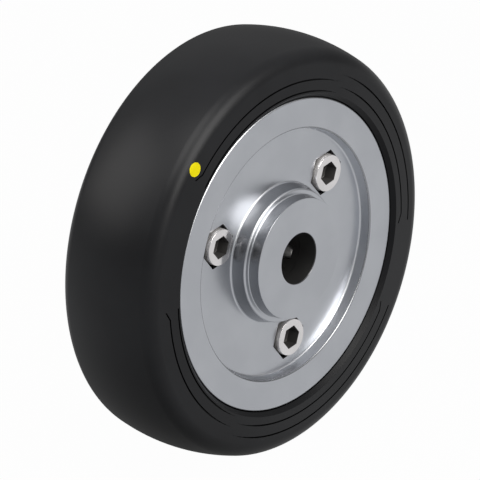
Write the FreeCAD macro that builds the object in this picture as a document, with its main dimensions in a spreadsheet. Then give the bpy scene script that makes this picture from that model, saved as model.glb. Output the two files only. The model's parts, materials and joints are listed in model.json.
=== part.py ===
import FreeCAD, Part
import math
import os

import Sketcher

# Industrial wheel: a solid rubber tyre on a cast rim that is split at its middle plane.
# Socket screws and captive nuts clamp the two identical rim halves on the tyre's foot.
# The hub carries a caged roller bearing between two retaining bushes.
#
# The wheel's centre is the origin. The axle lies along Y, the screw heads face -Y, and Z is up.
# Each piece is drawn with its own Z along the axle: "level" is the distance from the middle plane.

doc = FreeCAD.newDocument("IndustrialWheel")
sheet = doc.addObject("Spreadsheet::Sheet", "Sizes")

# Driving dimensions in millimetres, angles in degrees
dimensions = {
    # Tyre section
    "tyreRadius": 101.6,
    "crownRadius": 87.4,
    "treadWidth": 56.1,
    "shoulderRadius": 8.7,
    "sidewallSpan": 59.2,
    "sidewallFlat": 2.0,
    # Rim half
    "rimWidth": 56.0,
    "flangeRadius": 76.0,
    "flangeThickness": 5.0,
    "flangeGap": 0.4,
    "seatRadius": 66.0,
    "drumWall": 6.0,
    "recessTaper": 1.2,
    "recessDepth": 5.1,
    "webThickness": 6.0,
    "flangeChamfer": 0.8,
    # Hub of the rim half
    "hubLength": 72.5,
    "hubNoseRadius": 29.3,
    "hubNoseFootRadius": 29.8,
    "hubShoulderSpan": 60.7,
    "hubShoulderRadius": 32.3,
    "hubFootRadius": 33.8,
    "hubBackRadius": 30.0,
    "hubShoulderChamfer": 0.6,
    "mouthClearance": 0.1,
    "mouthLip": 0.6,
    # Roller bearing
    "boreRadius": 12.5,
    "bushRadius": 17.5,
    "bushLength": 9.65,
    "bushNoseWall": 0.5,
    "rollerDiameter": 7.0,
    "rollerCount": 7,
    "rollerAngle": 339.0,
    "rollerBoreClearance": 0.1,
    "rollerRaceClearance": 0.2,
    "rollerEndPlay": 0.2,
    "sleeveWall": 2.2,
    "cageEndPlay": 0.25,
    "cageEndRing": 4.0,
    "cageBoreClearance": 0.3,
    "cageRaceClearance": 0.4,
    "cagePocketClearance": 0.2,
    "cageSlotWidth": 6.4,
    # Fasteners
    "boltCount": 3,
    "boltAngle": 40.0,
    "headHubShare": 0.36,
    "bossRadius": 16.0,
    "boltHoleClearance": 0.5,
    "screwDiameter": 12.0,
    "screwLength": 40.0,
    "headDiameter": 18.0,
    "headHeight": 12.0,
    "headProud": 1.9,
    "headChamfer": 0.7,
    "socketAcrossFlats": 10.0,
    "socketDepth": 6.0,
    "nutAcrossFlats": 19.0,
    "nutHeight": 10.0,
    "nutThreadClearance": 0.05,
    "nutPocketClearance": 0.1,
}

for row, (alias, number) in enumerate(dimensions.items(), start=1):
    sheet.set(f"A{row}", alias)
    sheet.set(f"B{row}", str(number))
    sheet.setAlias(f"B{row}", alias)
doc.recompute()


class Size:
    """A dimension that carries its sheet expression together with its present value."""

    def __init__(self, text, value):
        self.text = text
        self.value = value

    def __add__(self, other):
        other = as_size(other)
        return Size(f"({self.text} + {other.text})", self.value + other.value)

    def __sub__(self, other):
        other = as_size(other)
        return Size(f"({self.text} - {other.text})", self.value - other.value)

    def __mul__(self, other):
        other = as_size(other)
        return Size(f"({self.text} * {other.text})", self.value * other.value)

    def __truediv__(self, other):
        other = as_size(other)
        return Size(f"({self.text} / {other.text})", self.value / other.value)

    def __neg__(self):
        return Size(f"(0 - {self.text})", -self.value)


def as_size(item):
    return item if isinstance(item, Size) else Size(repr(float(item)), float(item))


def size(alias):
    return Size(f"Sizes.{alias}", float(sheet.get(alias)))


# Levels and radii that several pieces share
flangeFace = size("rimWidth") / 2
flangeBack = flangeFace - size("flangeThickness")
webFace = flangeFace - size("recessDepth")
webBack = webFace - size("webThickness")
hubFace = size("hubLength") / 2
hubShoulder = size("hubShoulderSpan") / 2
bushOuterEnd = hubFace - size("mouthLip")
bushInnerEnd = bushOuterEnd - size("bushLength")
bushNoseRadius = size("boreRadius") + size("bushNoseWall")
bushConeEnd = bushOuterEnd - (size("bushRadius") - bushNoseRadius)
drumInner = size("seatRadius") - size("drumWall")
recessMouth = drumInner + size("recessTaper")

rollerRadius = size("rollerDiameter") / 2
rollerCircle = size("boreRadius") + size("rollerBoreClearance") + rollerRadius
raceRadius = rollerCircle + rollerRadius + size("rollerRaceClearance")
sleeveRadius = raceRadius + size("sleeveWall")
cageEnd = bushInnerEnd - size("cageEndPlay")
slotEnd = cageEnd - size("cageEndRing")

# A head stands on the web between the hub's foot and the recess wall, nearer the hub
freeWeb = drumInner - size("hubFootRadius") - size("headDiameter")
boltCircle = size("hubFootRadius") + size("headDiameter") / 2 + freeWeb * size("headHubShare")
headSeatDepth = size("headHeight") - size("headProud")
fastenerSeat = webFace - headSeatDepth
pocketAcrossFlats = size("nutAcrossFlats") + size("nutPocketClearance") * 2
boltHoleRadius = size("screwDiameter") / 2 + size("boltHoleClearance")

# A cut counts only if it takes away at least this volume, in cubic millimetres
leastCut = 0.01
hexHalfCorner = 1 / math.sqrt(3)

zAxis = FreeCAD.Vector(0, 0, 1)
xAxis = FreeCAD.Vector(1, 0, 0)
noMove = FreeCAD.Vector(0, 0, 0)

# The front half's own axes: its Z points out of the wheel's front face
frontFace = FreeCAD.Placement(noMove, FreeCAD.Rotation(xAxis, 90))
turnToRear = FreeCAD.Placement(noMove, FreeCAD.Rotation(xAxis, 180))


def turned_by(degrees):
    return FreeCAD.Placement(noMove, FreeCAD.Rotation(zAxis, degrees))


def moved_to(radius, level):
    return FreeCAD.Placement(FreeCAD.Vector(radius.value, 0, level.value), FreeCAD.Rotation())


frontHalfPlace = frontFace * turned_by(size("boltAngle").value)
rearHalfPlace = frontHalfPlace * turnToRear
cagePlace = frontFace * turned_by(size("rollerAngle").value)

subParts = []


def new_body(label, placement):
    body = doc.addObject("PartDesign::Body", label)
    body.Label = label
    body.Placement = placement
    subParts.append(body)
    return body


def origin_feature(body, role):
    return next(item for item in body.Origin.OriginFeatures if item.Role == role)


def new_sketch(body, name, role, level=None):
    """A sketch on one of the body's own origin planes, raised to a level where one is given."""
    sketch = body.newObject("Sketcher::SketchObject", name)
    sketch.AttachmentSupport = (origin_feature(body, role), [""])
    sketch.MapMode = "FlatFace"
    if level is not None:
        sketch.setExpression("AttachmentOffset.Base.z", level.text)
    return sketch


def bind(sketch, constraint, wanted):
    """Adds a dimension to the sketch and ties it to the sheet."""
    index = sketch.addConstraint(constraint)
    sketch.setExpression(f"Constraints[{index}]", wanted.text)


def hold_coordinate(sketch, kind, edge, end, wanted):
    """Holds one coordinate of a point; kind is DistanceX or DistanceY from the sketch origin."""
    axis = -2 if kind == "DistanceX" else -1
    if wanted.value == 0:
        sketch.addConstraint(Sketcher.Constraint("PointOnObject", edge, end, axis))
    elif wanted.value > 0:
        bind(sketch, Sketcher.Constraint(kind, -1, 1, edge, end, wanted.value), wanted)
    else:
        bind(sketch, Sketcher.Constraint(kind, edge, end, -1, 1, -wanted.value), -wanted)


def hold_point(sketch, edge, end, x, y):
    hold_coordinate(sketch, "DistanceX", edge, end, as_size(x))
    hold_coordinate(sketch, "DistanceY", edge, end, as_size(y))


def line(sketch, start, end):
    a = FreeCAD.Vector(as_size(start[0]).value, as_size(start[1]).value, 0)
    b = FreeCAD.Vector(as_size(end[0]).value, as_size(end[1]).value, 0)
    return sketch.addGeometry(Part.LineSegment(a, b), False)


def outline(sketch, corners):
    """A closed outline of straight edges whose corners are tied to the sheet."""
    edges = [line(sketch, corner, after) for corner, after in zip(corners, corners[1:] + corners[:1])]
    for edge, after in zip(edges, edges[1:] + edges[:1]):
        sketch.addConstraint(Sketcher.Constraint("Coincident", edge, 2, after, 1))
    for edge, (x, y) in zip(edges, corners):
        hold_point(sketch, edge, 1, x, y)


def disc(sketch, x, radius):
    """A circle centred on the sketch's X axis."""
    centre = FreeCAD.Vector(as_size(x).value, 0, 0)
    edge = sketch.addGeometry(Part.Circle(centre, zAxis, radius.value), False)
    hold_point(sketch, edge, 3, x, 0)
    bind(sketch, Sketcher.Constraint("Radius", edge, radius.value), radius)


def hexagon(sketch, x, acrossFlats):
    """A hexagon centred on the sketch's X axis, with two of its flats square to that axis."""
    x = as_size(x)
    flat = acrossFlats / 2
    corner = acrossFlats * hexHalfCorner
    half = corner / 2
    outline(sketch, [
        (x + flat, -half), (x + flat, half), (x, corner),
        (x - flat, half), (x - flat, -half), (x, -corner),
    ])


def check_cut(feature):
    doc.recompute()
    if feature.BaseFeature.Shape.Volume - feature.Shape.Volume < leastCut:
        raise RuntimeError(f"{feature.Label} takes nothing away")


def revolve(body, sketch, name):
    feature = body.newObject("PartDesign::Revolution", name)
    feature.Profile = sketch
    feature.ReferenceAxis = (sketch, ["V_Axis"])
    feature.Angle = 360
    sketch.Visibility = False
    return feature


def turned(body, name, corners):
    """A turned solid from a section given as radius and level."""
    sketch = new_sketch(body, f"{name}Section", "XZ_Plane")
    outline(sketch, corners)
    feature = revolve(body, sketch, name)
    doc.recompute()
    return feature


def pocket(body, sketch, name, depth):
    """A cut from the sketch down towards the middle plane."""
    feature = body.newObject("PartDesign::Pocket", name)
    feature.Profile = sketch
    feature.setExpression("Length", depth.text)
    check_cut(feature)
    return feature


def ring_of(body, name, features, countAlias):
    feature = body.newObject("PartDesign::PolarPattern", name)
    feature.Originals = features
    feature.Axis = (origin_feature(body, "Z_Axis"), [""])
    feature.Angle = 360
    feature.setExpression("Occurrences", f"Sizes.{countAlias}")
    body.Tip = feature
    doc.recompute()
    return feature


def tyre_section(body):
    """Front half of the tyre's section: foot, flange notch, sidewall, shoulder and crowned tread."""
    sketch = new_sketch(body, "TyreSection", "XZ_Plane")
    notch = size("flangeRadius") + size("flangeGap")
    foot = size("seatRadius")
    side = size("sidewallSpan") / 2
    flatEnd = notch + size("sidewallFlat")
    crown = size("crownRadius").value
    shoulder = size("shoulderRadius").value

    # Starting places of the tangent arcs and the slope beside them; the constraints below hold them
    crownX = size("tyreRadius").value - crown
    shoulderY = size("treadWidth").value / 2 - shoulder
    shoulderX = crownX + math.sqrt((crown - shoulder) ** 2 - shoulderY ** 2)
    apart = math.hypot(shoulderX - flatEnd.value, shoulderY - side.value)
    toShoulder = math.atan2(shoulderY - side.value, shoulderX - flatEnd.value)
    treadTurn = math.atan2(shoulderY, shoulderX - crownX)
    sideTurn = toShoulder + math.asin(shoulder / apart) + math.pi / 2
    slopeX = shoulderX + shoulder * math.cos(sideTurn)
    slopeY = shoulderY + shoulder * math.sin(sideTurn)

    def arc(x, y, radius, start, end):
        circle = Part.Circle(FreeCAD.Vector(x, y, 0), zAxis, radius)
        return sketch.addGeometry(Part.ArcOfCircle(circle, start, end), False)

    treadArc = arc(crownX, 0, crown, 0, treadTurn)
    shoulderArc = arc(shoulderX, shoulderY, shoulder, treadTurn, sideTurn)
    corners = [(slopeX, slopeY), (flatEnd, side), (notch, side), (notch, flangeBack), (foot, flangeBack),
               (foot, 0), (size("tyreRadius"), 0)]
    edges = [line(sketch, start, end) for start, end in zip(corners, corners[1:])]

    sketch.addConstraint([
        Sketcher.Constraint("Tangent", treadArc, 2, shoulderArc, 1),
        Sketcher.Constraint("Tangent", shoulderArc, 2, edges[0], 1),
        Sketcher.Constraint("Coincident", edges[-1], 2, treadArc, 1),
        Sketcher.Constraint("PointOnObject", treadArc, 3, -1),
    ])
    for edge, after in zip(edges, edges[1:]):
        sketch.addConstraint(Sketcher.Constraint("Coincident", edge, 2, after, 1))
    for edge, (x, y) in zip(edges[1:], corners[1:]):
        hold_point(sketch, edge, 1, x, y)
    hold_point(sketch, edges[-1], 2, size("tyreRadius"), 0)
    for edge, alias in ((treadArc, "crownRadius"), (shoulderArc, "shoulderRadius")):
        bind(sketch, Sketcher.Constraint("Radius", edge, size(alias).value), size(alias))
    shoulderLevel = size("treadWidth") / 2 - size("shoulderRadius")
    hold_coordinate(sketch, "DistanceY", shoulderArc, 3, shoulderLevel)
    return sketch


def make_tyre():
    body = new_body("tyre", frontFace)
    half = revolve(body, tyre_section(body), "TyreHalf")
    doc.recompute()
    mirrored = body.newObject("PartDesign::Mirrored", "TyreWhole")
    mirrored.Originals = [half]
    mirrored.MirrorPlane = (origin_feature(body, "XY_Plane"), [""])
    body.Tip = mirrored


def make_rim_half(label, placement):
    """A cast half: stepped hub, dished web, flange and tyre drum, with a boss behind each hexagon pocket."""
    body = new_body(label, placement)
    mouth = size("boreRadius") + size("mouthClearance")
    nose = size("hubNoseRadius")
    noseFoot = size("hubNoseFootRadius")
    shoulder = size("hubShoulderRadius")
    foot = size("hubFootRadius")
    back = size("hubBackRadius")
    drum = drumInner
    flange = size("flangeRadius")
    seat = size("seatRadius")
    bush = size("bushRadius")
    flangeChamfer = size("flangeChamfer")
    shoulderChamfer = size("hubShoulderChamfer")

    turned(body, "Casting", [
        (sleeveRadius, 0), (sleeveRadius, bushInnerEnd), (bush, bushInnerEnd), (bush, bushConeEnd),
        (bushNoseRadius, bushOuterEnd), (mouth, bushOuterEnd), (mouth, hubFace), (nose, hubFace),
        (noseFoot, hubShoulder), (shoulder - shoulderChamfer, hubShoulder),
        (shoulder, hubShoulder - shoulderChamfer), (foot, webFace), (drum, webFace),
        (recessMouth, flangeFace), (flange - flangeChamfer, flangeFace), (flange, flangeFace - flangeChamfer),
        (flange, flangeBack), (seat, flangeBack), (seat, 0),
        (drum, 0), (drum, webBack), (back, webBack), (back, 0),
    ])

    bossSketch = new_sketch(body, "BossSketch", "XY_Plane")
    disc(bossSketch, boltCircle, size("bossRadius"))
    boss = body.newObject("PartDesign::Pad", "Boss")
    boss.Profile = bossSketch
    boss.setExpression("Length", (webBack + size("webThickness") / 2).text)
    doc.recompute()

    seatSketch = new_sketch(body, "SeatSketch", "XY_Plane", webFace)
    hexagon(seatSketch, boltCircle, pocketAcrossFlats)
    hexSeat = pocket(body, seatSketch, "HexSeat", headSeatDepth)

    holeSketch = new_sketch(body, "HoleSketch", "XY_Plane", fastenerSeat)
    disc(holeSketch, boltCircle, boltHoleRadius)
    hole = pocket(body, holeSketch, "BoltHole", fastenerSeat)

    ring_of(body, "BoltRing", [boss, hexSeat, hole], "boltCount")


def make_screw(label, placement):
    """A socket head screw, drawn with its seat at level 0."""
    body = new_body(label, placement)
    shank = size("screwDiameter") / 2
    head = size("headDiameter") / 2
    chamfer = size("headChamfer")
    end = -size("screwLength")
    top = size("headHeight")
    turned(body, "Screw", [
        (0, end), (shank, end), (shank, 0), (head, 0), (head, top - chamfer), (head - chamfer, top), (0, top),
    ])
    sketch = new_sketch(body, "SocketSketch", "XY_Plane", top)
    hexagon(sketch, 0, size("socketAcrossFlats"))
    pocket(body, sketch, "Socket", size("socketDepth"))


def make_nut(label, placement):
    """A hexagon nut, drawn with its seat at level 0."""
    body = new_body(label, placement)
    top = size("nutHeight")
    sketch = new_sketch(body, "NutSketch", "XY_Plane")
    hexagon(sketch, 0, size("nutAcrossFlats"))
    prism = body.newObject("PartDesign::Pad", "Prism")
    prism.Profile = sketch
    prism.setExpression("Length", top.text)
    doc.recompute()

    boreSketch = new_sketch(body, "BoreSketch", "XY_Plane", top)
    disc(boreSketch, 0, size("screwDiameter") / 2 + size("nutThreadClearance"))
    pocket(body, boreSketch, "ThreadBore", top)


def make_bush(label, placement):
    """A retaining bush with a conical nose that seats behind the hub's thin mouth lip."""
    body = new_body(label, placement)
    bore = size("boreRadius")
    wall = size("bushRadius")
    turned(body, "Bush", [
        (bore, bushInnerEnd), (wall, bushInnerEnd), (wall, bushConeEnd), (bushNoseRadius, bushOuterEnd),
        (bore, bushOuterEnd),
    ])


def make_sleeve():
    body = new_body("race_sleeve", frontFace)
    turned(body, "Sleeve", [
        (raceRadius, -bushInnerEnd), (sleeveRadius, -bushInnerEnd), (sleeveRadius, bushInnerEnd),
        (raceRadius, bushInnerEnd),
    ])


def slot_outline(sketch):
    """A cage slot: a round pocket for the roller, open outwards and narrowed inwards to hold it."""
    pocketRadius = rollerRadius + size("cagePocketClearance")
    half = size("cageSlotWidth") / 2
    inside = rollerCircle - rollerRadius * 2
    outside = rollerCircle + rollerRadius * 2
    lip = math.asin(half.value / pocketRadius.value)
    meet = rollerCircle.value - pocketRadius.value * math.cos(lip)
    circle = Part.Circle(FreeCAD.Vector(rollerCircle.value, 0, 0), zAxis, pocketRadius.value)

    lowerArc = sketch.addGeometry(Part.ArcOfCircle(circle, math.pi + lip, 1.5 * math.pi), False)
    lowerOut = line(sketch, (rollerCircle, -pocketRadius), (outside, -pocketRadius))
    outer = line(sketch, (outside, -pocketRadius), (outside, pocketRadius))
    upperOut = line(sketch, (outside, pocketRadius), (rollerCircle, pocketRadius))
    upperArc = sketch.addGeometry(Part.ArcOfCircle(circle, 0.5 * math.pi, math.pi - lip), False)
    upperIn = line(sketch, (meet, half), (inside, half))
    inner = line(sketch, (inside, half), (inside, -half))
    lowerIn = line(sketch, (inside, -half), (meet, -half))

    loop = [lowerArc, lowerOut, outer, upperOut, upperArc, upperIn, inner, lowerIn]
    for edge, after in zip(loop, loop[1:] + loop[:1]):
        sketch.addConstraint(Sketcher.Constraint("Coincident", edge, 2, after, 1))
    for edge in (lowerOut, upperOut, upperIn, lowerIn):
        sketch.addConstraint(Sketcher.Constraint("Horizontal", edge))
    for edge in (lowerArc, upperArc):
        hold_point(sketch, edge, 3, rollerCircle, 0)
        bind(sketch, Sketcher.Constraint("Radius", edge, pocketRadius.value), pocketRadius)
    hold_coordinate(sketch, "DistanceX", lowerOut, 1, rollerCircle)
    hold_coordinate(sketch, "DistanceX", upperOut, 2, rollerCircle)
    hold_coordinate(sketch, "DistanceX", outer, 1, outside)
    hold_coordinate(sketch, "DistanceX", outer, 2, outside)
    hold_point(sketch, inner, 1, inside, half)
    hold_point(sketch, inner, 2, inside, -half)


def make_cage():
    body = new_body("roller_cage", cagePlace)
    inner = size("boreRadius") + size("cageBoreClearance")
    outer = raceRadius - size("cageRaceClearance")
    turned(body, "CageTube", [(inner, -cageEnd), (outer, -cageEnd), (outer, cageEnd), (inner, cageEnd)])
    sketch = new_sketch(body, "SlotSketch", "XY_Plane", slotEnd)
    slot_outline(sketch)
    slot = pocket(body, sketch, "Slot", slotEnd * 2)
    ring_of(body, "SlotRing", [slot], "rollerCount")


def make_roller(label, placement):
    body = new_body(label, placement)
    end = slotEnd - size("rollerEndPlay")
    turned(body, "Roller", [(0, -end), (rollerRadius, -end), (rollerRadius, end), (0, end)])


make_tyre()
make_rim_half("front_rim_half", frontHalfPlace)
make_rim_half("rear_rim_half", rearHalfPlace)

boltCount = int(size("boltCount").value)
for bolt in range(boltCount):
    around = turned_by(bolt * 360 / boltCount) * moved_to(boltCircle, fastenerSeat)
    make_screw(f"cap_screw_{bolt + 1}", frontHalfPlace * around)
    make_nut(f"hex_nut_{bolt + 1}", rearHalfPlace * around)

make_sleeve()
make_bush("front_bush", frontFace)
make_bush("rear_bush", frontFace * turnToRear)
make_cage()

rollerCount = int(size("rollerCount").value)
for roller in range(rollerCount):
    around = turned_by(roller * 360 / rollerCount) * moved_to(rollerCircle, as_size(0))
    make_roller(f"roller_{roller + 1}", cagePlace * around)

doc.recompute()

failed = [item.Label for item in doc.Objects if "Invalid" in item.State or "Error" in item.State]
if failed:
    raise RuntimeError(f"Features that failed: {failed}")
for body in subParts:
    if body.Shape.isNull() or not body.Shape.isValid() or len(body.Shape.Solids) != 1:
        raise RuntimeError(f"{body.Label} is not one sound solid")

os.makedirs("parts", exist_ok=True)
for body in subParts:
    body.Shape.exportStep(f"parts/{body.Label}.step")
    print(f"{body.Label}: {body.Shape.Volume / 1000:.2f} cubic centimetres")
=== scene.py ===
import json
import math
import bmesh
import bpy
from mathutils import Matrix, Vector

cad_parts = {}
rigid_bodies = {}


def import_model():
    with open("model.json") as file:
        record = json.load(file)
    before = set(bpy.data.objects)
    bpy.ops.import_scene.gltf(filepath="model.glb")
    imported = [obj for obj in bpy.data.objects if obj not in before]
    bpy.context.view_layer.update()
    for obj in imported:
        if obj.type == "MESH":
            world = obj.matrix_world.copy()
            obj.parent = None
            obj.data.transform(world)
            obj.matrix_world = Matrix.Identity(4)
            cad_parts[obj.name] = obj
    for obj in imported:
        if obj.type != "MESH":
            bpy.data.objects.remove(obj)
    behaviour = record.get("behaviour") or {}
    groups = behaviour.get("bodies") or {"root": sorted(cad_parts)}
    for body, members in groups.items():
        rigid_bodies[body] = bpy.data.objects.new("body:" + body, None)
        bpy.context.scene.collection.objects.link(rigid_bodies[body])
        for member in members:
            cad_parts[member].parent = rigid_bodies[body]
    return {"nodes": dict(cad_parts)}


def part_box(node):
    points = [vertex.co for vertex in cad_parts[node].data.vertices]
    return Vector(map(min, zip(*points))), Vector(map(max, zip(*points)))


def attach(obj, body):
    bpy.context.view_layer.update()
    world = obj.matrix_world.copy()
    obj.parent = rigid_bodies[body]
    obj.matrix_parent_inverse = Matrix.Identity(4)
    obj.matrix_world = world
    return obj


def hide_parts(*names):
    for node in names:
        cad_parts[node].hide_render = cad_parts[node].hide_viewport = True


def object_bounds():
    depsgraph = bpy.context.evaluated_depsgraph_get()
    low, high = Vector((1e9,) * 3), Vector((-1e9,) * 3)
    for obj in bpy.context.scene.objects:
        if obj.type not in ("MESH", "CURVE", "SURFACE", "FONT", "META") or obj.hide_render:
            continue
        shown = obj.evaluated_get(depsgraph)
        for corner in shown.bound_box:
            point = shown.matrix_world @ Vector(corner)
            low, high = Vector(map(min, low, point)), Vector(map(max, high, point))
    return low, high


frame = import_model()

mm = 0.001
scene = bpy.context.scene
scene.view_settings.view_transform = "Standard"
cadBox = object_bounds()
print("frame in place:", len(frame["nodes"]), "nodes")


# camera: a parallel view from the front left, a little above the axle
shot = {"azimuth": 310.3, "elevation": 21.8, "across": 224.98, "away": 800, "clip": (0.01, 20)}


def lookFrom(azimuth, elevation):
    a, e = math.radians(azimuth), math.radians(elevation)
    return Vector((math.sin(a) * math.cos(e), -math.cos(a) * math.cos(e), math.sin(e)))


def aimFrom(back):
    return (-back).to_track_quat("-Z", "Y").to_euler()


def setCamera():
    back = lookFrom(shot["azimuth"], shot["elevation"])
    bpy.ops.object.camera_add(location=back * shot["away"] * mm, rotation=aimFrom(back))
    camera = bpy.context.object
    camera.data.type = "ORTHO"
    camera.data.ortho_scale = shot["across"] * mm
    camera.data.clip_start, camera.data.clip_end = shot["clip"]
    scene.camera = camera


setCamera()
print("camera set")


# shader wiring: sums on a Wire add Math nodes, anything else comes from node()
class Wire:
    def __init__(self, tree, socket=None):
        self.tree = tree
        self.socket = socket

    def node(self, kind, settings=None, inputs=None, out=0):
        made = self.tree.nodes.new("ShaderNode" + kind)
        for name, value in (settings or {}).items():
            setattr(made, name, value)
        for name, value in (inputs or {}).items():
            if isinstance(value, Wire):
                self.tree.links.new(value.socket, made.inputs[name])
            else:
                made.inputs[name].default_value = value
        return Wire(self.tree, made.outputs[out])

    def sum(self, operation, first, second):
        return self.node("Math", {"operation": operation}, {0: first, 1: second})

    def __add__(self, other):
        return self.sum("ADD", self, other)

    def __radd__(self, other):
        return self.sum("ADD", other, self)

    def __sub__(self, other):
        return self.sum("SUBTRACT", self, other)

    def __rsub__(self, other):
        return self.sum("SUBTRACT", other, self)

    def __mul__(self, other):
        return self.sum("MULTIPLY", self, other)

    def clipped(self, low, high):
        # 0 below low, 1 above high
        return self.node("MapRange", {"interpolation_type": "SMOOTHSTEP"}, {0: self, 1: low, 2: high})

    def blend(self, first, second):
        # a colour mixed by this value
        return self.node("Mix", {"data_type": "RGBA"}, {0: self, 6: first, 7: second}, out=2)


def startMaterial(name):
    material = bpy.data.materials.new(name)
    material.use_nodes = True
    tree = material.node_tree
    return material, tree.nodes["Principled BSDF"], Wire(tree)


def finishMaterial(shader, tree, values):
    for name, value in values.items():
        if isinstance(value, Wire):
            tree.links.new(value.socket, shader.inputs[name])
        else:
            shader.inputs[name].default_value = value


# finishes: two tones that a slow cloud mixes, roughness with its swing by cloud and by grain,
# scale and detail of both noises, strength of the grain's bump
rubber = {"base": (0.0038, 0.0039, 0.0046), "pale": (0.0058, 0.0060, 0.0070), "mixed": (0.3, 0.7),
          "rough": 0.39, "swing": (0.10, 0.06), "cloud": (34.0, 5.0), "grain": (2400.0, 2.0), "bump": 0.10,
          "gloss": 0.27, "sheen": (0.93, 0.95, 1.0, 1), "lineShadeShare": 0.4, "lipShadeShare": 0.62}
silver = {"base": (0.532, 0.550, 0.588), "pale": (0.574, 0.593, 0.631), "mixed": (0.3, 0.7),
          "rough": 0.30, "swing": (0.06, 0.05), "cloud": (40.0, 4.0), "grain": (1900.0, 2.0), "bump": 0.06,
          "metal": 1.0, "wallShadeShare": 0.58, "wallRough": 0.25}
plating = {"base": (0.925, 0.905, 0.91), "pale": (0.855, 0.835, 0.835), "mixed": (0.35, 0.7),
           "rough": 0.10, "swing": (0.06, 0.0), "cloud": (120.0, 4.0), "grain": (3000.0, 1.0), "bump": 0.02,
           "metal": 1.0, "socketShadeShare": 0.13, "socketRough": 0.32, "socketMetal": 0.6,
           "sideShadeShare": 0.72, "sideRough": 0.22, "sideMetal": 0.5}
plastic = {"base": (0.014, 0.014, 0.0145), "pale": (0.018, 0.018, 0.0185), "mixed": (0.3, 0.7),
           "rough": 0.42, "swing": (0.0, 0.10), "cloud": (90.0, 3.0), "grain": (3200.0, 2.0), "bump": 0.08,
           "gloss": 0.65}
steel = {"base": (0.58, 0.58, 0.59), "pale": (0.68, 0.68, 0.69), "mixed": (0.3, 0.7),
         "rough": 0.24, "swing": (0.0, 0.12), "cloud": (160.0, 3.0), "grain": (1.0, 2.0), "bump": 0.05,
         "lay": (400.0, 5200.0, 400.0), "metal": 1.0, "rollerMetal": 0.45}
paint = {"base": (0.655, 0.571, 0.004), "pale": (0.616, 0.537, 0.004), "mixed": (0.4, 0.75),
         "rough": 0.5, "swing": (0.0, 0.10), "cloud": (420.0, 3.0), "grain": (2600.0, 2.0), "bump": 0.10,
         "gloss": 0.08}
bumpDepth = 0.1 * mm


def makeFinish(name, settings, share=1.0, **changes):
    s = {**settings, **changes}
    material, shader, wire = startMaterial(name)
    where = wire.node("TexCoord", out="Object")
    lay = where
    if "lay" in s:   # grinding lines round the axle
        lay = wire.node("Mapping", None, {"Vector": where, "Scale": s["lay"]})
    cloud = wire.node("TexNoise", None, {"Vector": where, "Scale": s["cloud"][0], "Detail": s["cloud"][1]})
    grain = wire.node("TexNoise", None, {"Vector": lay, "Scale": s["grain"][0], "Detail": s["grain"][1]})
    base, pale = [tuple(c * share for c in s[tone]) + (1,) for tone in ("base", "pale")]
    values = {
        "Base Color": cloud.clipped(*s["mixed"]).blend(base, pale),
        "Roughness": s["rough"] + (cloud - 0.5) * s["swing"][0] + (grain - 0.5) * s["swing"][1],
        "Normal": wire.node("Bump", None, {"Strength": s["bump"], "Distance": bumpDepth, "Height": grain}),
    }
    for key, socket in (("metal", "Metallic"), ("gloss", "Specular IOR Level"), ("sheen", "Specular Tint")):
        if key in s:
            values[socket] = s[key]
    finishMaterial(shader, material.node_tree, values)
    return material


satinRubber = makeFinish("satinRubber", rubber)
# painted shade: darker copies of the rubber for the sunk lines and for the lip at the flange
shadedLineRubber = makeFinish("shadedLineRubber", rubber, rubber["lineShadeShare"],
                        gloss=rubber["gloss"] * rubber["lineShadeShare"])
shadedLipRubber = makeFinish("shadedLipRubber", rubber, rubber["lipShadeShare"],
                       gloss=rubber["gloss"] * rubber["lipShadeShare"])
castSilver = makeFinish("satinCastSilver", silver)
# painted shade: a darker, slightly smoother copy of the silver for the walls
shadedWall = makeFinish("paintedShadeWallSilver", silver, silver["wallShadeShare"], rough=silver["wallRough"])
brightPlating = makeFinish("brightPlating", plating)
# painted shade: a darker copy of the plating for the sockets, and a darker half-metallic one for the heads'
# sides
shadedSocketPlating = makeFinish("shadedSocketPlating", plating, plating["socketShadeShare"],
                        rough=plating["socketRough"], metal=plating["socketMetal"])
shadedSidePlating = makeFinish("shadedSidePlating", plating, plating["sideShadeShare"],
                        rough=plating["sideRough"], metal=plating["sideMetal"])
blackMoulding = makeFinish("blackMoulding", plastic)
groundSteel = makeFinish("groundSteel", steel)
rollerSteel = makeFinish("rollerSteel", steel, metal=steel["rollerMetal"])
yellowPaint = makeFinish("yellowPaint", paint)
print("materials made")


# how near in mm: points that are one, places that agree, places that are next to each other
same, close, nearby = 0.001, 0.02, 0.1


# places on the wheel: radius from the axle and height towards the front in mm, angle seen from the front
def spot(point):
    return math.hypot(point.x, point.z) / mm, -point.y / mm, math.degrees(math.atan2(point.z, point.x))


def around(radius, angle):
    at = math.radians(angle)
    return radius * math.cos(at), radius * math.sin(at)


def pick(kind, test):
    bpy.ops.mesh.select_mode(type=kind)
    bpy.ops.mesh.select_all(action="DESELECT")
    mesh = bmesh.from_edit_mesh(bpy.context.object.data)
    if kind == "FACE":   # faces go by their middle, edges by both ends
        chosen = [face for face in mesh.faces if test(*spot(face.calc_center_median()))]
    elif kind == "EDGE":
        chosen = [edge for edge in mesh.edges if all(test(*spot(end.co)) for end in edge.verts)]
    else:
        chosen = [vert for vert in mesh.verts if test(*spot(vert.co))]
    for part in chosen:
        part.select_set(True)
    mesh.select_flush_mode()
    bmesh.update_edit_mesh(bpy.context.object.data)


def arc(centre, radius, start, end, count):
    turns = [math.radians(start + (end - start) * k / (count - 1)) for k in range(count)]
    return [(centre[0] + radius * math.cos(t), centre[1] + radius * math.sin(t)) for t in turns]


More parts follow.
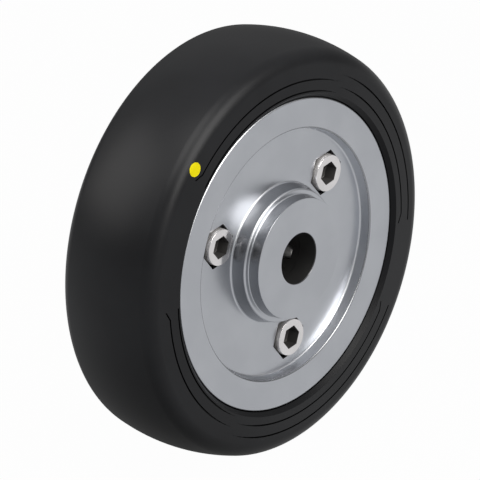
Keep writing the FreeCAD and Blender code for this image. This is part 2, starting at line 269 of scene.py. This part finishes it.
def turnPiece(name, material, section, steps):
    # one point is extruded along the section, and the section is spun round the axle
    bpy.ops.object.select_all(action="DESELECT")
    bpy.ops.mesh.primitive_plane_add(size=mm, location=(0, 0, 0))
    piece = bpy.context.object
    piece.name = name
    piece.data.materials.append(material)
    bpy.ops.object.mode_set(mode="EDIT")
    bpy.ops.mesh.select_mode(type="VERT")
    bpy.ops.mesh.select_all(action="SELECT")
    bpy.ops.mesh.merge(type="CENTER")
    here = (0, 0)
    for count, (radius, height) in enumerate(section):
        step = ((radius - here[0]) * mm, (here[1] - height) * mm, 0)
        if count == 0:
            bpy.ops.transform.translate(value=step)
        else:
            bpy.ops.mesh.extrude_region_move(TRANSFORM_OT_translate={"value": step})
        here = (radius, height)
    if section[0][0] > 0:   # a section clear of the axle is closed
        ends = (section[0], section[-1])
        pick("VERT", lambda r, h, a: any(abs(r - e[0]) + abs(h - e[1]) < same for e in ends))
        bpy.ops.mesh.edge_face_add()
    bpy.ops.mesh.select_all(action="SELECT")
    bpy.ops.mesh.spin(steps=steps, angle=2 * math.pi, center=(0, 0, 0), axis=(0, 1, 0))
    bpy.ops.mesh.select_all(action="SELECT")
    bpy.ops.mesh.remove_doubles(threshold=same * mm)
    bpy.ops.mesh.normals_make_consistent(inside=False)
    return piece


def roundRing(radius, height, size, segments=3, profile=0.5):
    pick("EDGE", lambda r, h, a: abs(r - radius) < close and abs(h - height) < close)
    bpy.ops.mesh.bevel(offset=size * mm, segments=segments, profile=profile, affect="EDGES")


def addBar(vertices, radius, back, front, x=0, z=0, turn=0):
    # a round or hexagon bar along the axle, from one height to another
    bpy.ops.mesh.primitive_cylinder_add(vertices=vertices, radius=radius * mm, depth=(front - back) * mm,
                                        location=(x * mm, -(back + front) / 2 * mm, z * mm),
                                        rotation=(math.pi / 2, -math.radians(turn), 0))
    return bpy.context.object


def hexRadius(flats):
    return flats / math.sqrt(3)


def pickPiece(piece):
    bpy.ops.object.select_all(action="DESELECT")
    bpy.context.view_layer.objects.active = piece
    piece.select_set(True)


def cutWith(piece, tool, operation):
    pickPiece(piece)
    bpy.ops.object.modifier_add(type="BOOLEAN")
    boolean = piece.modifiers[-1]
    boolean.operation = operation
    boolean.object = tool
    bpy.ops.object.modifier_apply(modifier=boolean.name)
    pickPiece(tool)
    bpy.ops.object.delete()
    pickPiece(piece)


def smoothPiece(piece, angle=32):
    bpy.ops.object.mode_set(mode="OBJECT")
    pickPiece(piece)
    bpy.ops.object.shade_smooth_by_angle(angle=math.radians(angle))
    bpy.ops.object.modifier_add(type="WEIGHTED_NORMAL")
    piece.modifiers[-1].keep_sharp = True
    bpy.ops.object.modifier_apply(modifier=piece.modifiers[-1].name)


def copyTurned(piece, name, angle, flip=False):
    # a copy with its own mesh, turned round the axle to an angle seen from the front
    pickPiece(piece)
    bpy.ops.object.duplicate(linked=False)
    copy = bpy.context.object
    copy.name = name
    copy.rotation_euler = (math.pi if flip else 0, -math.radians(angle), 0)
    bpy.ops.object.transform_apply(location=True, rotation=True, scale=True)
    return copy


def nodeAngle(node):
    low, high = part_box(node)
    return spot((low + high) / 2)[2]


def finishPicked(piece, material):
    # the picked faces get a finish of their own
    if piece.data.materials.find(material.name) < 0:
        piece.data.materials.append(material)
    piece.active_material_index = piece.data.materials.find(material.name)
    bpy.ops.object.material_slot_assign()


def dress(piece, body, node):
    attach(piece, body)
    if node:
        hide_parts(node)


# solid tyre: crowned tread, round shoulders, two broken sunk lines on each sidewall
tyre = {"crown": (14.2, 87.4), "crownPoints": 9, "shoulder": (90.48, 19.35, 8.7), "shoulderPoints": 17,
        "lean": 83.0, "slope": 0.1229, "flatEnd": 78.4, "notch": 76.4, "wall": 29.6, "sideFrom": 26.0,
        "leadIn": 1.9, "leadInSegments": 2, "leadInProfile": 0.25, "foot": 66.0, "footHalf": 23.0,
        "steps": 360, "lineWidth": 0.8, "lineDepth": 0.9, "hookColumns": 3, "runStep": 3,
        "runOut": (0.12, 0.35, 0.6, 0.85),
        # each stretch: first and last angle, radius of its two lines, the line that hooks, where, how far
        "lines": ((-6, 62, (82.5, 88.4), 0, "first", -2.0), (64, 139, (79.4, 84.8), 1, "last", 2.4),
                  (182, 241, (79.4, 84.8), 1, "first", 2.4), (244, 327, (82.5, 88.4), 0, "last", -2.0))}


def sinkLines(piece, side, first, last, lines, hooked, end, reach):
    s = tyre
    half = s["lineWidth"] / 2
    halfColumn = 180 / s["steps"]
    pick("FACE", lambda r, h, a: side * h > s["sideFrom"] and (a - first) % 360 < last - first
         and any(abs(r - line) < nearby for line in lines))
    sink = (0, side * s["lineDepth"] * mm, 0)
    bpy.ops.mesh.extrude_region_move(TRANSFORM_OT_translate={"value": sink})
    bpy.ops.mesh.select_more()
    finishPicked(piece, shadedLineRubber)   # painted shade: the sunk lines get a darker copy of the rubber
    for column in range(s["hookColumns"]):
        turn = first + column if end == "first" else last - column
        slide = reach * (1 - column / s["hookColumns"]) * mm
        x, z = around(slide, turn)
        pick("VERT", lambda r, h, a: abs(r - lines[hooked]) < half + close and side * h > s["sideFrom"]
             and abs((a - turn + 180) % 360 - 180) < halfColumn)
        bpy.ops.transform.translate(value=(x, side * slide * s["slope"], z))
    # the plain ends narrow down to nothing
    for part, share in enumerate(s["runOut"]):
        start = last - s["runStep"] * (part + 1) + halfColumn
        if end == "last":
            start = first + s["runStep"] * part - halfColumn
        for line in lines:
            for edge in (line - half, line + half):
                pick("VERT", lambda r, h, a: abs(r - edge) < close and side * h > s["sideFrom"]
                     and (a - start) % 360 < s["runStep"])
                size = (line + (edge - line) * share) / edge
                bpy.ops.transform.resize(value=(size, 1, size), center_override=(0, 0, 0))


def makeTyre():
    s = tyre
    half = s["lineWidth"] / 2
    lean = math.degrees(math.atan2(s["shoulder"][1], s["shoulder"][0] - s["crown"][0]))
    front = arc((s["crown"][0], 0), s["crown"][1], 0, lean, s["crownPoints"])
    front += arc(s["shoulder"][:2], s["shoulder"][2], lean, s["lean"], s["shoulderPoints"])[1:]
    for radius in sorted({line for stretch in s["lines"] for line in stretch[2]}, reverse=True):
        for r in (radius + half, radius - half):
            front.append((r, s["wall"] - s["slope"] * (r - s["flatEnd"])))
    front += [(s["flatEnd"], s["wall"]), (s["notch"], s["wall"]), (s["notch"], s["footHalf"]),
              (s["foot"], s["footHalf"])]
    section = front + [(r, -h) for r, h in reversed(front[1:])]
    piece = turnPiece("solidTyre", satinRubber, section, s["steps"])
    for side in (1, -1):
        roundRing(s["notch"], side * s["wall"], s["leadIn"], s["leadInSegments"], s["leadInProfile"])
        # painted shade: the lip round the flange gets a darker copy of the rubber
        pick("FACE", lambda r, h, a: r < s["notch"] + s["leadIn"] and side * h > s["footHalf"] + nearby)
        finishPicked(piece, shadedLipRubber)
        for stretch in s["lines"]:
            sinkLines(piece, side, *stretch)
    smoothPiece(piece)
    dress(piece, "wheel", "tyre")
    return piece


tyrePiece = makeTyre()
print("tyre made")


# painted dot on the front shoulder, laid on the rubber
dot = {"angle": 136.3, "radius": 90.9, "across": 7.0, "thick": 0.12, "points": 56, "rings": 5,
       "ringWidth": 0.6, "drop": 0.5, "gap": 0.02, "smooth": 40}


def makeDot():
    at, lean = math.radians(dot["angle"]), math.radians(tyre["lean"])
    normal = Vector((math.cos(lean) * math.cos(at), -math.sin(lean), math.cos(lean) * math.sin(at)))
    height = tyre["wall"] - tyre["slope"] * (dot["radius"] - tyre["flatEnd"])
    place = Vector((dot["radius"] * math.cos(at), -height, dot["radius"] * math.sin(at))) * mm
    bpy.ops.object.select_all(action="DESELECT")
    bpy.ops.mesh.primitive_circle_add(vertices=dot["points"], radius=dot["across"] / 2 * mm,
                                      fill_type="NGON", location=place + normal * dot["drop"] * mm,
                                      rotation=normal.to_track_quat("Z", "Y").to_euler())
    piece = bpy.context.object
    piece.name = "paintDot"
    piece.data.materials.append(yellowPaint)
    bpy.ops.object.transform_apply(location=True, rotation=True, scale=True)
    bpy.ops.object.mode_set(mode="EDIT")
    for ring in range(dot["rings"]):
        bpy.ops.mesh.inset(thickness=dot["ringWidth"] * mm)
    bpy.ops.mesh.poke()
    bpy.ops.object.mode_set(mode="OBJECT")
    bpy.ops.object.modifier_add(type="SHRINKWRAP")
    piece.modifiers[-1].target = tyrePiece
    piece.modifiers[-1].offset = dot["gap"] * mm
    bpy.ops.object.modifier_apply(modifier=piece.modifiers[-1].name)
    bpy.ops.object.modifier_add(type="SOLIDIFY")
    piece.modifiers[-1].thickness = dot["thick"] * mm
    piece.modifiers[-1].offset = 1
    bpy.ops.object.modifier_apply(modifier=piece.modifiers[-1].name)
    smoothPiece(piece, dot["smooth"])
    dress(piece, "wheel", None)


makeDot()
print("paint dot made")


# rim half: hub with a stepped nose, dished web, flange, drum under the tyre, bosses for the bolts
rim = {"hubFace": 36.25, "mouth": 12.6, "lipBack": 35.65, "coneTop": 13.0, "coneFoot": (17.5, 31.15),
       "bushSeat": 26.0, "raceSeat": 22.0, "nose": 29.3, "noseFoot": 29.8, "shoulderHeight": 30.35,
       "shoulder": 32.3, "hubFoot": 33.8, "webFace": 22.9, "webBack": 16.9, "hubBack": 30.0,
       "dishFoot": 60.0, "dishMouth": 61.2, "flangeFace": 28.0, "flangeBack": 23.0, "flange": 76.0,
       "seat": 66.0, "boltCircle": 45.752, "bolts": (0, 120, 240), "boss": 16.0, "bossTop": 20.9,
       "pocketFlats": 19.2, "pocketFloor": 12.8, "boltHole": 6.5, "cutter": 20, "steps": 180,
       "bossPoints": 72, "holePoints": 48,
       # rounded rings: where, how large, in how many steps
       "rounds": (("mouth", "hubFace", 0.15, 2), ("nose", "hubFace", 0.25, 2),
                  ("noseFoot", "shoulderHeight", 0.4, 3), ("shoulder", "shoulderHeight", 0.8, 3),
                  ("hubFoot", "webFace", 0.8, 3), ("dishFoot", "webFace", 0.8, 3),
                  ("dishMouth", "flangeFace", 0.6, 3), ("flange", "flangeFace", 1.0, 4)),
       # walls painted darker as shade, by radius and height: hub, nose, mouth edge of the dish, pockets
       "wallShadeSpans": ((31.9, 33.9, 23.6, 29.6), (29.2, 29.9, 30.8, 36.0), (60.9, 61.9, 27.5, 27.98),
                (34.5, 58.0, 12.7, 22.8))}


def makeRimHalf():
    s = rim
    section = [(s["raceSeat"], 0), (s["raceSeat"], s["bushSeat"]), (s["coneFoot"][0], s["bushSeat"]),
               s["coneFoot"], (s["coneTop"], s["lipBack"]), (s["mouth"], s["lipBack"]),
               (s["mouth"], s["hubFace"]), (s["nose"], s["hubFace"]), (s["noseFoot"], s["shoulderHeight"]),
               (s["shoulder"], s["shoulderHeight"]), (s["hubFoot"], s["webFace"]),
               (s["dishFoot"], s["webFace"]), (s["dishMouth"], s["flangeFace"]),
               (s["flange"], s["flangeFace"]), (s["flange"], s["flangeBack"]), (s["seat"], s["flangeBack"]),
               (s["seat"], 0), (s["dishFoot"], 0), (s["dishFoot"], s["webBack"]),
               (s["hubBack"], s["webBack"]), (s["hubBack"], 0)]
    piece = turnPiece("rimHalf", castSilver, section, s["steps"])
    for radius, height, size, segments in s["rounds"]:
        roundRing(s[radius], s[height], size, segments)
    bpy.ops.object.mode_set(mode="OBJECT")
    for turn in s["bolts"]:
        x, z = around(s["boltCircle"], turn)
        cutWith(piece, addBar(s["bossPoints"], s["boss"], 0, s["bossTop"], x, z), "UNION")
    for turn in s["bolts"]:
        x, z = around(s["boltCircle"], turn)
        pocket = addBar(6, hexRadius(s["pocketFlats"]), s["pocketFloor"], s["pocketFloor"] + s["cutter"],
                        x, z, turn)
        cutWith(piece, pocket, "DIFFERENCE")
        hole = addBar(s["holePoints"], s["boltHole"], -s["cutter"], s["cutter"], x, z)
        cutWith(piece, hole, "DIFFERENCE")
    bpy.ops.object.mode_set(mode="EDIT")
    # painted shade: these walls take the darker copy of the silver
    pick("FACE", lambda r, h, a: any(inner < r < outer and back < h < front
                                     for inner, outer, back, front in s["wallShadeSpans"]))
    finishPicked(piece, shadedWall)
    smoothPiece(piece)
    return piece


rimHalf = makeRimHalf()
boltAngle = nodeAngle("cap_screw_1")
for name, node, flip in (("frontRimHalf", "front_rim_half", False), ("rearRimHalf", "rear_rim_half", True)):
    dress(copyTurned(rimHalf, name, boltAngle, flip), "wheel", node)
bpy.data.objects.remove(rimHalf)
print("rim halves made")


# cap screw: round head with a hexagon socket, shank through both halves
screw = {"head": 9.0, "seat": 12.8, "top": 24.8, "leanFrom": 22.8, "face": 8.8, "edge": 0.12, "shank": 6.0,
         "end": -27.2, "root": 5.1, "pitch": 1.75, "turns": 7, "crest": (0.45, 0.6), "socketFlats": 10.0,
         "socketFloor": 18.8, "cutter": 10, "drillIn": 1.2, "drillDeep": 0.6, "steps": 96}


def makeScrew():
    s = screw
    section = [(0, s["end"]), (s["root"], s["end"])]
    for turn in range(s["turns"]):   # thread as plain rings
        low = s["end"] + s["pitch"] * turn
        section += [(s["shank"], low + s["pitch"] * part) for part in s["crest"]]
        section.append((s["root"], low + s["pitch"]))
    section += [(s["shank"], section[-1][1] + s["pitch"] / 2), (s["shank"], s["seat"]),
                (s["head"], s["seat"]), (s["head"], s["leanFrom"]), (s["face"], s["top"]), (0, s["top"])]
    piece = turnPiece("capScrew", brightPlating, section, s["steps"])
    roundRing(s["face"], s["top"], s["edge"])
    bpy.ops.object.mode_set(mode="OBJECT")
    tool = addBar(6, hexRadius(s["socketFlats"]), s["socketFloor"], s["socketFloor"] + s["cutter"])
    bpy.ops.object.transform_apply(location=True, rotation=True, scale=True)
    bpy.ops.object.mode_set(mode="EDIT")
    pick("FACE", lambda r, h, a: h < s["socketFloor"] + close)
    bpy.ops.mesh.inset(thickness=s["drillIn"] * mm)
    bpy.ops.transform.translate(value=(0, s["drillDeep"] * mm, 0))   # drill point under the socket
    bpy.ops.object.mode_set(mode="OBJECT")
    cutWith(piece, tool, "DIFFERENCE")
    bpy.ops.object.mode_set(mode="EDIT")
    deepest = s["socketFloor"] - s["drillDeep"]
    # painted shade: the socket gets a darker copy of the plating
    pick("FACE", lambda r, h, a: r < s["shank"] - nearby and deepest - nearby < h < s["top"] - close)
    finishPicked(piece, shadedSocketPlating)
    # painted shade: the head's side gets a darker, half-metallic copy of the plating
    pick("FACE", lambda r, h, a: r > s["face"] - nearby and s["seat"] + nearby < h < s["top"] - s["edge"])
    finishPicked(piece, shadedSidePlating)
    bpy.ops.mesh.select_all(action="SELECT")
    bpy.ops.transform.translate(value=(rim["boltCircle"] * mm, 0, 0))
    smoothPiece(piece)
    return piece


# nut: hexagon with both ends chamfered, held in the rear pockets
nut = {"flats": 19.0, "seat": -12.8, "top": -22.8, "bore": 6.05, "lead": 0.7, "chamfer": 1.6, "rise": 0.9,
       "over": 0.2, "cutter": 5, "steps": 96}


def makeNut():
    s = nut
    corner = hexRadius(s["flats"])
    small, large, lead = corner - s["chamfer"], corner + s["over"], s["bore"] + s["lead"]
    section = [(lead, s["top"]), (small, s["top"]), (large, s["top"] + s["rise"]),
               (large, s["seat"] - s["rise"]), (small, s["seat"]), (lead, s["seat"]),
               (s["bore"], s["seat"] - s["lead"]), (s["bore"], s["top"] + s["lead"])]
    piece = turnPiece("hexNut", brightPlating, section, s["steps"])
    bpy.ops.object.mode_set(mode="OBJECT")
    cutWith(piece, addBar(6, corner, s["top"] - s["cutter"], s["seat"] + s["cutter"]), "INTERSECT")
    bpy.ops.object.mode_set(mode="EDIT")
    bpy.ops.mesh.select_all(action="SELECT")
    bpy.ops.transform.translate(value=(rim["boltCircle"] * mm, 0, 0))
    smoothPiece(piece)
    return piece


capScrew = makeScrew()
hexNut = makeNut()
for count in (1, 2, 3):
    node = f"cap_screw_{count}"
    dress(copyTurned(capScrew, f"capScrew{count}", nodeAngle(node)), "wheel", node)
    node = f"hex_nut_{count}"
    dress(copyTurned(hexNut, f"hexNut{count}", nodeAngle(node)), "wheel", node)
bpy.data.objects.remove(capScrew)
bpy.data.objects.remove(hexNut)
print("screws and nuts made")


# bearing: race sleeve, two bushes, cage and rollers
bearing = {"bore": 12.5, "bushInner": 26.0, "bushOuter": 17.5, "coneStart": 31.15, "coneTop": 13.0,
           "bushEnd": 35.65, "bushEdge": 0.25, "raceInner": 19.8, "raceOuter": 22.0, "raceEdge": 0.3,
           "raceSteps": 144, "cageInner": 12.8, "cageOuter": 19.4, "cageEnd": 25.75, "cageEdge": 0.25,
           "cageSteps": 168, "slotEnd": 21.75, "slotWidth": 6.4, "slotReach": 4, "pocket": 3.7,
           "pocketPoints": 48, "circle": 16.1, "roller": 3.5, "rollerEnd": 21.55, "rollerEdge": 0.5,
           "rollerSteps": 64, "rollers": 7}


def makeTube(name, material, inner, outer, end, edge, steps):
    section = [(inner, -end), (outer, -end), (outer, end), (inner, end)]
    piece = turnPiece(name, material, section, steps)
    for side in (1, -1):
        roundRing(inner, side * end, edge, segments=2)
    return piece


def makeSleeve():
    b = bearing
    piece = makeTube("raceSleeve", groundSteel, b["raceInner"], b["raceOuter"], b["bushInner"],
                     b["raceEdge"], b["raceSteps"])
    smoothPiece(piece)
    dress(piece, "wheel", "race_sleeve")


def makeBush():
    b = bearing
    section = [(b["bore"], b["bushInner"]), (b["bushOuter"], b["bushInner"]),
               (b["bushOuter"], b["coneStart"]), (b["coneTop"], b["bushEnd"]), (b["bore"], b["bushEnd"])]
    piece = turnPiece("bush", blackMoulding, section, b["raceSteps"])
    roundRing(b["bore"], b["bushInner"], b["bushEdge"], segments=2)
    smoothPiece(piece)
    return piece


def makeCage():
    b = bearing
    piece = makeTube("rollerCage", blackMoulding, b["cageInner"], b["cageOuter"], b["cageEnd"],
                     b["cageEdge"], b["cageSteps"])
    bpy.ops.object.mode_set(mode="OBJECT")
    for count in range(1, b["rollers"] + 1):
        angle = nodeAngle(f"roller_{count}")
        # round pocket for the roller, a narrower slot inwards and a full-width one outwards
        x, z = around(b["circle"], angle)
        pocket = addBar(b["pocketPoints"], b["pocket"], -b["slotEnd"], b["slotEnd"], x, z)
        cutWith(piece, pocket, "DIFFERENCE")
        for reach, wide in ((-b["slotReach"], b["slotWidth"]), (b["slotReach"], b["pocket"] * 2)):
            x, z = around(b["circle"] + reach, angle)
            slot = (2 * b["slotReach"] * mm, 2 * b["slotEnd"] * mm, wide * mm)
            bpy.ops.mesh.primitive_cube_add(size=1, location=(x * mm, 0, z * mm),
                                            rotation=(0, -math.radians(angle), 0), scale=slot)
            cutWith(piece, bpy.context.object, "DIFFERENCE")
    smoothPiece(piece)
    dress(piece, "cage", "roller_cage")


def makeRoller():
    b = bearing
    end = b["rollerEnd"]
    section = [(0, -end), (b["roller"], -end), (b["roller"], end), (0, end)]
    piece = turnPiece("roller", rollerSteel, section, b["rollerSteps"])
    for side in (1, -1):
        roundRing(b["roller"], side * end, b["rollerEdge"])
    bpy.ops.mesh.select_all(action="SELECT")
    bpy.ops.transform.translate(value=(b["circle"] * mm, 0, 0))
    smoothPiece(piece)
    return piece


makeSleeve()
bush = makeBush()
dress(copyTurned(bush, "frontBush", 0), "wheel", "front_bush")
dress(copyTurned(bush, "rearBush", 0, True), "wheel", "rear_bush")
bpy.data.objects.remove(bush)
makeCage()
roller = makeRoller()
for count in range(1, bearing["rollers"] + 1):
    node = f"roller_{count}"
    dress(copyTurned(roller, f"roller{count}", nodeAngle(node)), node, node)
bpy.data.objects.remove(roller)
print("bearing made")


# pale floor, soft daylight dome and soft lamps
# the floor's painted shadow, seen only in reflections: its grey, the side behind the wheel, its reach round
# the foot and far out
stage = {"floorSize": 8, "floorColour": (0.27, 0.27, 0.27, 1), "floorRough": 0.9, "white": 0.98,
         "mirrored": (0.66, 0.66, 0.66, 1), "shadowGrey": (0.17, 0.17, 0.17, 1), "shadowWay": (-0.44, 0.9),
         "shadowFrom": (-0.06, 0.02), "shadowNear": (0.03, 0.24), "shadeFar": (0.25, 0.6), "farShare": 0.85,
         "horizon": 0.17, "zenith": 0.655, "rise": (-0.05, 0.85)}


def makeFloor():
    bpy.ops.object.select_all(action="DESELECT")
    bpy.ops.mesh.primitive_plane_add(size=stage["floorSize"], location=(0, 0, cadBox[0].z))
    floor = bpy.context.object
    floor.name = "floor"
    material, shader, wire = startMaterial("paleFloor")
    tree = material.node_tree
    finishMaterial(shader, tree, {"Base Color": stage["floorColour"], "Roughness": stage["floorRough"]})
    path = tree.nodes.new("ShaderNodeLightPath")
    direct, glossy, through = [Wire(tree, path.outputs[f"Is {kind} Ray"])
                               for kind in ("Camera", "Glossy", "Transmission")]
    # the camera sees white, and in reflections the floor is grey round the wheel's foot and far behind it,
    # a painted shadow
    where = wire.node("TexCoord", out="Object")
    x, y = [wire.node("SeparateXYZ", None, {0: where}, out=axis) for axis in "XY"]
    away = wire.node("VectorMath", {"operation": "LENGTH"}, {0: where}, out="Value")
    footShadow = 1 - away.clipped(*stage["shadowNear"])
    farShade = x.clipped(*stage["shadeFar"]) * stage["farShare"]
    wayX, wayY = stage["shadowWay"]
    paintedShadow = (x * wayX + y * wayY).clipped(*stage["shadowFrom"]) * (footShadow + farShade)
    colour = direct.blend(paintedShadow.blend(stage["mirrored"], stage["shadowGrey"]), (1, 1, 1, 1))
    glow = wire.node("Emission", None, {"Color": colour, "Strength": 1.0})
    seen = (direct + glossy + through).clipped(0.0, 1.0) * stage["white"]
    mixed = wire.node("MixShader", None, {0: seen, 1: Wire(tree, shader.outputs[0]), 2: glow})
    tree.links.new(mixed.socket, tree.nodes["Material Output"].inputs["Surface"])
    floor.data.materials.append(material)


def makeDome():
    world = bpy.data.worlds.new("softDome")
    scene.world = world
    world.use_nodes = True
    tree = world.node_tree
    wire = Wire(tree)
    way = wire.node("TexCoord", out="Generated")
    up = wire.node("SeparateXYZ", None, {0: way}, out="Z")
    light = up.clipped(*stage["rise"]) * (stage["zenith"] - stage["horizon"]) + stage["horizon"]
    back = tree.nodes["Background"]
    back.inputs["Color"].default_value = (1, 1, 1, 1)
    tree.links.new(light.socket, back.inputs["Strength"])


lamps = {"key": {"azimuth": 0, "elevation": 30.5, "away": 0.9, "size": 0.6, "watts": 6.2},
         "top": {"azimuth": 302, "elevation": 63, "away": 0.9, "size": 0.55, "watts": 3.9},
         "side": {"azimuth": 228, "elevation": 33, "away": 1.0, "size": 0.7, "watts": 3.5}}
lampColour = (1.0, 0.965, 0.905)


def makeLamps():
    for name, lamp in lamps.items():
        back = lookFrom(lamp["azimuth"], lamp["elevation"])
        bpy.ops.object.light_add(type="AREA", location=back * lamp["away"], rotation=aimFrom(back))
        light = bpy.context.object
        light.name = name + "Lamp"
        light.data.size = lamp["size"]
        light.data.energy = lamp["watts"]
        light.data.color = lampColour


makeFloor()
makeDome()
makeLamps()
print("stage and lamps set")
